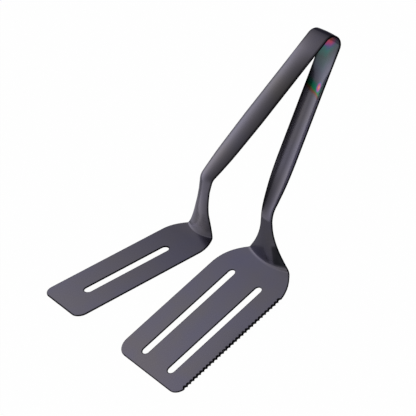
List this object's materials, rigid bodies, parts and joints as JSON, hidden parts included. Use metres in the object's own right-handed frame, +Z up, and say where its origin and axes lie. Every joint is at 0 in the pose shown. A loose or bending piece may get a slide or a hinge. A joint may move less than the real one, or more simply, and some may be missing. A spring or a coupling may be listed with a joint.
{
  "type": "steak tongs",
  "caption": "Sprung serving tongs folded from one steel strip: a wide slotted blade with a serrated edge faces a narrow slotted blade.",
  "frame": {"origin": "middle of the wide blade's underside, in the plane that the tongs rest on", "axes": "+X from the bow to the blade tips, +Y across the blades towards the serrated edge, +Z up from the wide blade to the narrow one"},
  "size_m": [0.2607, 0.0754, 0.126],
  "materials": {
    "wide_arm": "satin gunmetal coating on stainless steel",
    "spring_bow": "satin gunmetal coating on stainless steel",
    "narrow_arm": "satin gunmetal coating on stainless steel"
  },
  "bodies": {
    "wide_arm": {"wide_arm": "wide_arm"},
    "spring_bow": {"spring_bow": "spring_bow"},
    "narrow_arm": {"narrow_arm": "narrow_arm"}
  },
  "joints": [
    {"name": "wide_arm_flex", "type": "hinge", "parent": "wide_arm", "child": "spring_bow", "pos_m": [-0.16928, 0, 0.10869], "axis": [0, 1, 0], "range_deg": [0, 11.5], "stiffness_Nm_per_rad": 9.2, "springref_deg": -0.57},
    {"name": "narrow_arm_flex", "type": "hinge", "parent": "spring_bow", "child": "narrow_arm", "pos_m": [-0.16189, 0, 0.12417], "axis": [0, 1, 0], "range_deg": [0, 11.5], "stiffness_Nm_per_rad": 9.2, "springref_deg": -0.57}
  ],
  "couplings": [
    {"joint": "narrow_arm_flex", "follows": "wide_arm_flex", "ratio": 1}
  ]
}
